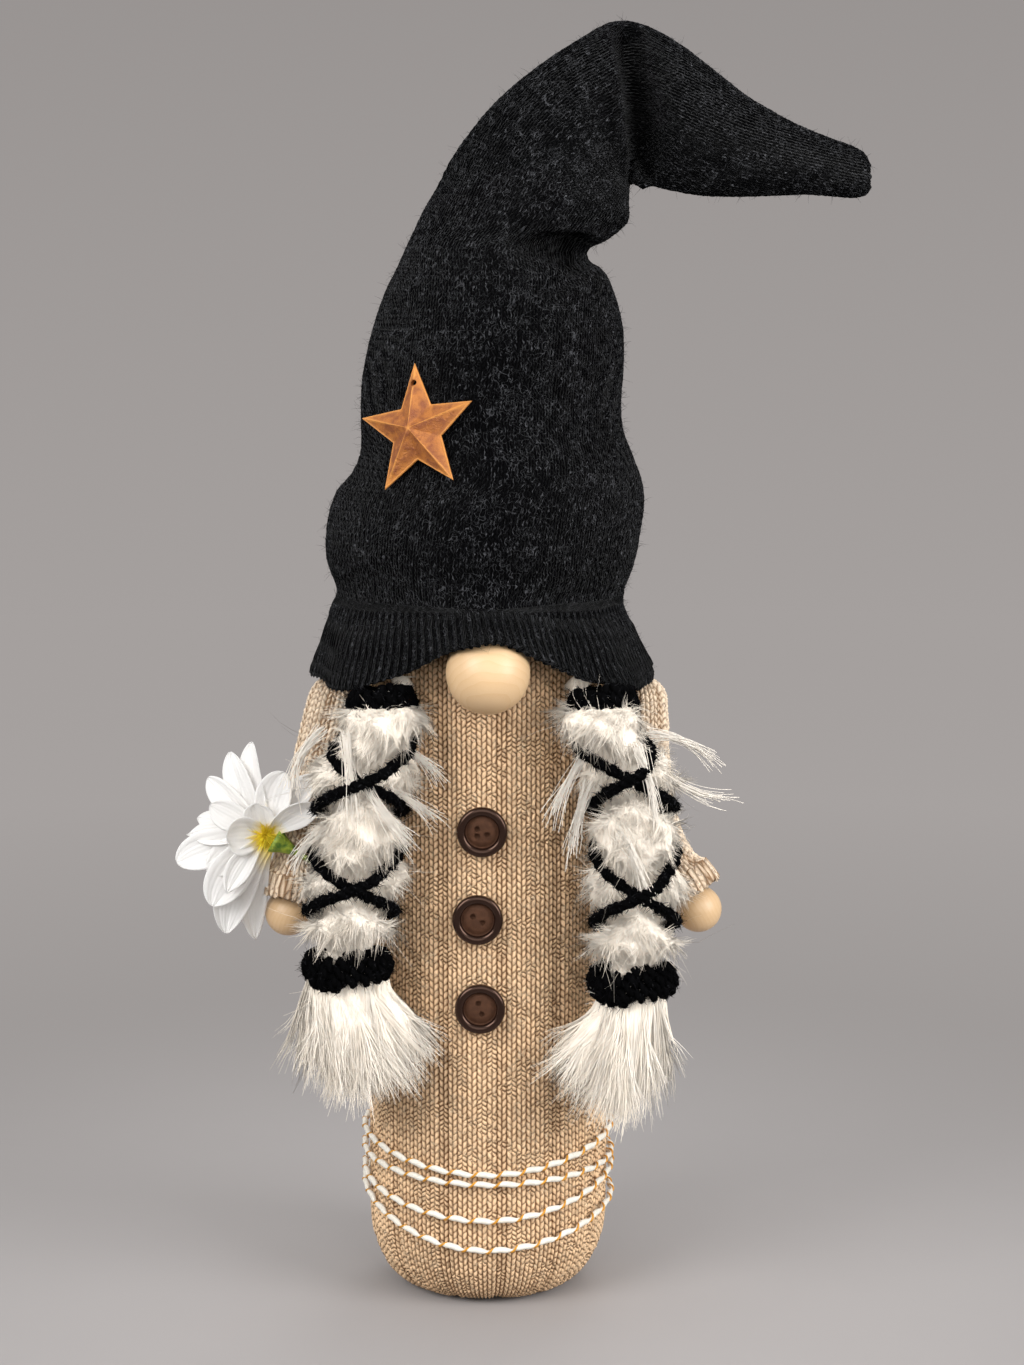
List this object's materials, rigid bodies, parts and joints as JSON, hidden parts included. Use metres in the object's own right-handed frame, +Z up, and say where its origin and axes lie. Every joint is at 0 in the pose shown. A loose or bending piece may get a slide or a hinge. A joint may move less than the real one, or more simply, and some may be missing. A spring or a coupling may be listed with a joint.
{
  "type": "gnome doll",
  "caption": "Tall stuffed gnome doll with a folded knitted hat, ball nose, laced hair braids, bendable arms with ball hands, buttons, a tin star and a silk flower.",
  "frame": {"origin": "centre of the flat base, on the surface the doll stands on, on the body tube's axis", "axes": "+Z up along the body tube; the doll faces -Y; +X to the viewer's right, where the hat's tip points"},
  "size_m": [0.2804, 0.1544, 0.5192],
  "materials": {
    "body_knit": "tan knitted yarn, matte",
    "hat_knit": "charcoal heathered knitted yarn, matte and fuzzy",
    "stuffing": "loose fibre filling",
    "pellets": "bag of plastic pellets",
    "board": "pressed board",
    "thread": "strong sewing thread",
    "wire": "soft craft wire",
    "birch": "turned pale wood, satin",
    "button_wood": "dark brown varnished wood, glossy rim",
    "rust": "rust coloured pressed tin, mottled and matte",
    "waist_cord": "white and gold twisted cord",
    "hair": "white long pile faux fur",
    "chenille": "black fuzzy chenille yarn",
    "petal": "white silk, soft and translucent",
    "leaf": "green moulded plastic",
    "pollen": "yellow moulded stamens"
  },
  "bodies": {
    "root": {"base_disc": "board", "weight_bag": "pellets", "body_filling": "stuffing", "body_cover": "body_knit", "neck_tie": "thread", "waist_cord": "waist_cord", "button_top": "button_wood", "button_middle": "button_wood", "button_bottom": "button_wood", "hat_crown": "hat_knit", "hat_filling": "stuffing", "hat_wire": "wire", "nose_ball": "birch", "star": "rust", "hair_root_left": "hair", "hair_root_right": "hair"},
    "hat_tip": {"hat_tip": "hat_knit", "hat_tip_filling": "stuffing", "hat_tip_wire": "wire"},
    "arm_left": {"sleeve_left": "body_knit", "arm_filling_left": "stuffing", "arm_wire_left": "wire", "hand_ball_left": "birch"},
    "arm_right": {"sleeve_right": "body_knit", "arm_filling_right": "stuffing", "arm_wire_right": "wire", "hand_ball_right": "birch"},
    "braid_left": {"braid_hair_left": "hair", "braid_top_tie_left": "chenille", "braid_bottom_tie_left": "chenille", "lacing_under_left": "chenille", "lacing_over_left": "chenille"},
    "braid_right": {"braid_hair_right": "hair", "braid_top_tie_right": "chenille", "braid_bottom_tie_right": "chenille", "lacing_under_right": "chenille", "lacing_over_right": "chenille"},
    "flower": {"flower_stem": "leaf", "flower_calyx": "leaf", "petals_outer": "petal", "petals_middle": "petal", "petals_inner": "petal", "flower_centre": "pollen"}
  },
  "joints": [
    {"name": "hat_tip_bend", "type": "hinge", "parent": "root", "child": "hat_tip", "pos_m": [0.058, 0, 0.4829], "axis": [0, 1, 0], "range_deg": [-25, 20]},
    {"name": "arm_left_raise", "type": "hinge", "parent": "root", "child": "arm_left", "pos_m": [-0.0623, 0, 0.2433], "axis": [0, 1, 0], "range_deg": [0, 45]},
    {"name": "arm_right_raise", "type": "hinge", "parent": "root", "child": "arm_right", "pos_m": [0.0623, 0, 0.2433], "axis": [0, -1, 0], "range_deg": [0, 45]},
    {"name": "braid_left_swing", "type": "hinge", "parent": "root", "child": "braid_left", "pos_m": [-0.041, -0.052, 0.2485], "axis": [-1, 0, 0], "range_deg": [0, 25]},
    {"name": "braid_right_swing", "type": "hinge", "parent": "root", "child": "braid_right", "pos_m": [0.0455, -0.052, 0.2485], "axis": [-1, 0, 0], "range_deg": [0, 25]},
    {"name": "flower_pull", "type": "slide", "parent": "arm_left", "child": "flower", "axis": [-0.866, 0, 0.5], "range_m": [0, 0.036]}
  ]
}
